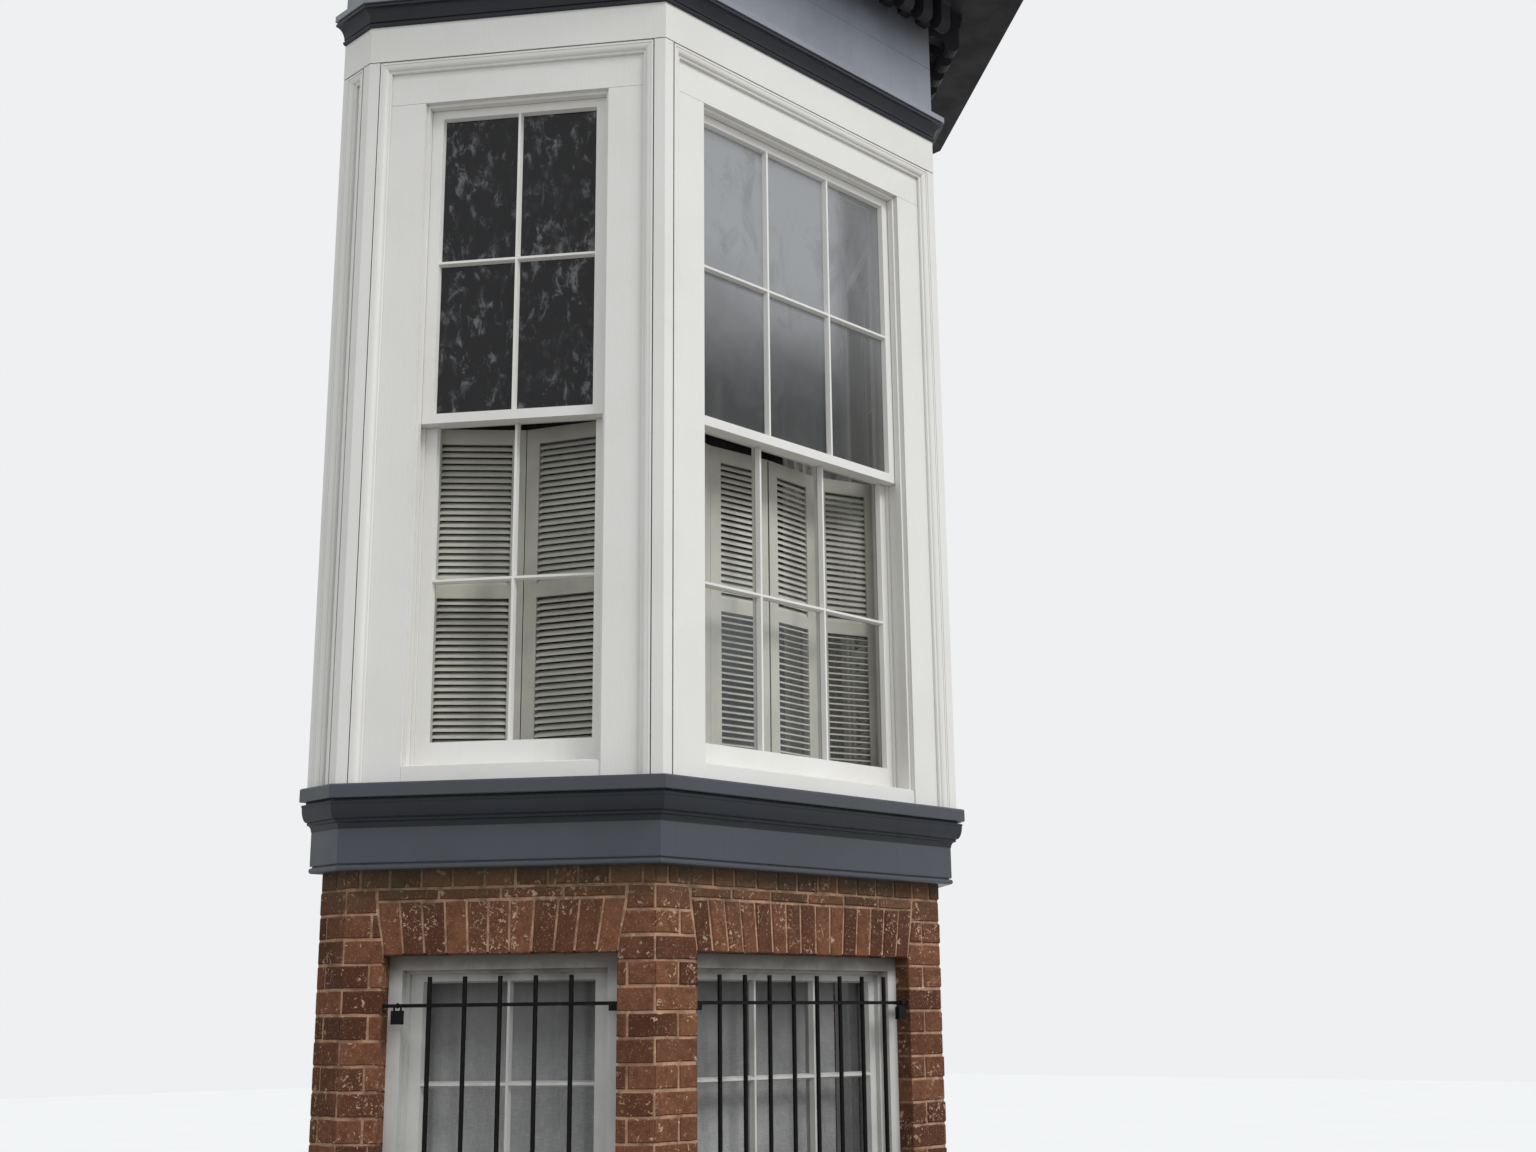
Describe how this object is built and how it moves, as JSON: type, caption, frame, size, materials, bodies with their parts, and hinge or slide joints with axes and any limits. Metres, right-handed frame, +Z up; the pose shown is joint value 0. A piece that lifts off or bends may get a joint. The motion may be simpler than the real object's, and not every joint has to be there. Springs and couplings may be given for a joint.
{
  "type": "canted bay window",
  "caption": "Canted bay window: brick basement with guarded windows, white timber storey with sash windows and louvred shutters, bracketed eaves and a hipped roof.",
  "frame": {"origin": "centre of the footprint of the whole part, roof overhang included, at ground level", "axes": "+Z up; +X along the front face, to the right when it is seen from outside; the front looks along -Y and the open back towards the house along +Y"},
  "size_m": [3.9454, 1.6146, 6.7896],
  "materials": {
    "brick": "rough red-brown brick with weathered lime mortar",
    "cloth": "woven",
    "concrete": "rough",
    "dark_paint": "dark blue-grey oil paint",
    "floor_wood": "worn boards",
    "glass": "clear window glass",
    "grey_paint": "blue-grey oil paint",
    "iron": "black paint",
    "plaster": "matt",
    "roof_metal": "matt grey paint",
    "shutter_paint": "pale grey paint",
    "white_paint": "white oil paint, slightly dirty"
  },
  "bodies": {
    "root": {"brick_base": "brick", "left_wall_pier": "brick", "left_corner_pier": "brick", "right_corner_pier": "brick", "right_wall_pier": "brick", "flat_arches": "brick", "brick_band": "brick", "ground_floor": "concrete", "basement_frames": "white_paint", "basement_sashes": "white_paint", "basement_glass": "glass", "basement_curtains": "cloth", "window_guards": "iron", "padlocks": "iron", "belt_bead": "grey_paint", "belt_fascia": "grey_paint", "bed_mould": "dark_paint", "belt_slab": "grey_paint", "main_floor": "floor_wood", "left_wall_post": "white_paint", "left_corner_post": "white_paint", "right_corner_post": "white_paint", "right_wall_post": "white_paint", "head_beams": "white_paint", "corner_boards": "white_paint", "casings": "white_paint", "panel_mouldings": "white_paint", "frieze_boards": "white_paint", "window_frames": "white_paint", "upper_sashes": "white_paint", "lower_sashes": "white_paint", "window_glass": "glass", "left_shutters": "shutter_paint", "front_shutters": "shutter_paint", "right_shutters": "shutter_paint", "drape": "cloth", "cornice_mould": "dark_paint", "grey_frieze": "grey_paint", "eave_brackets": "dark_paint", "soffit": "dark_paint", "eave_fascia": "dark_paint", "crown_mould": "dark_paint", "ceiling": "plaster", "roof": "roof_metal"}
  },
  "joints": []
}
